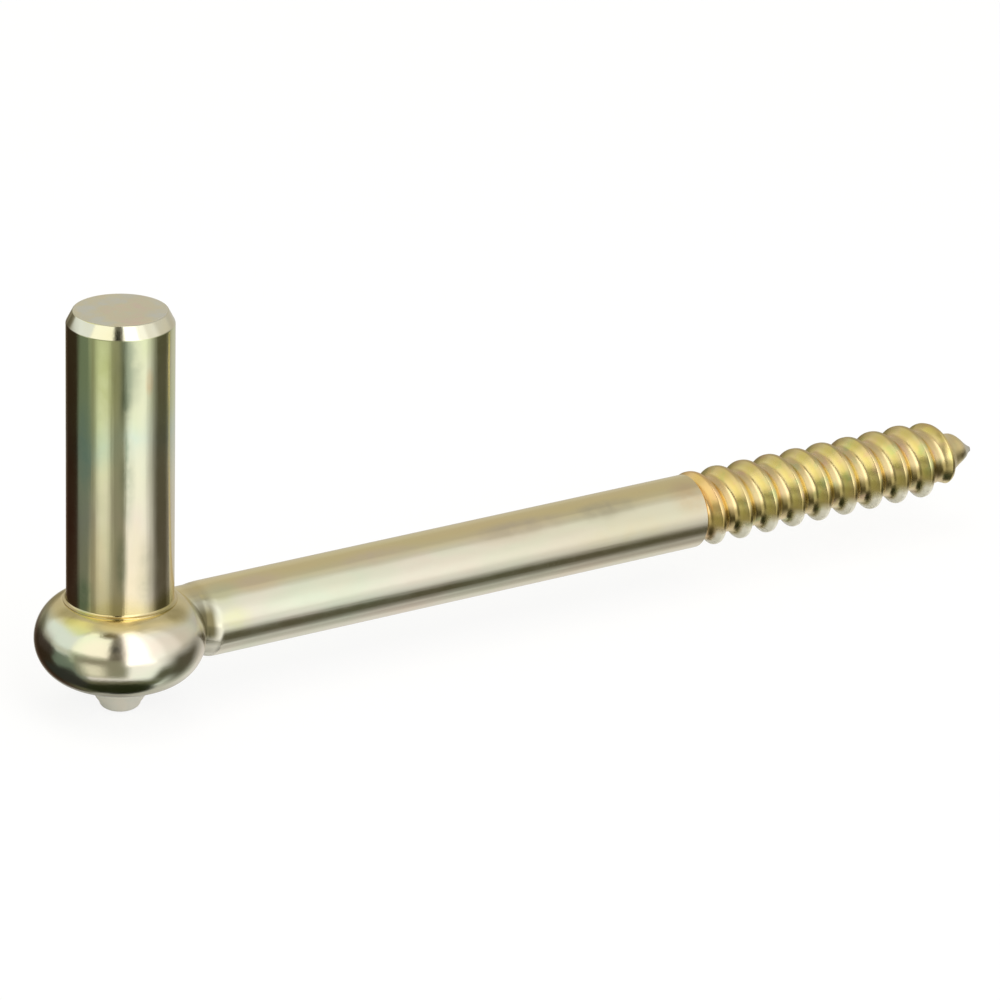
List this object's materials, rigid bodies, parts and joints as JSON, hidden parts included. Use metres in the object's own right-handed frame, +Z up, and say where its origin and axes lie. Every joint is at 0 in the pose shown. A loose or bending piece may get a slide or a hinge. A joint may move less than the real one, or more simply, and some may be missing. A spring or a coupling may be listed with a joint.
{
  "type": "screw-in hinge pin",
  "caption": "Plain upright hinge pin riveted through the ball head of a heavy wood screw, with a chamfered top, a necked ball, a smooth shank and a coarse thread to a point.",
  "frame": {"origin": "on the pin's axis, where its straight side begins above the flared foot", "axes": "+Z up along the hinge pin, +X along the screw to its point"},
  "size_m": [0.1688, 0.0256, 0.0628],
  "materials": {
    "pin_plating": "yellow chromate over bright zinc, polished",
    "screw_plating": "yellow chromate over zinc, satin"
  },
  "bodies": {
    "root": {"hinge_pin": "pin_plating", "screw_shank": "screw_plating"}
  },
  "joints": []
}
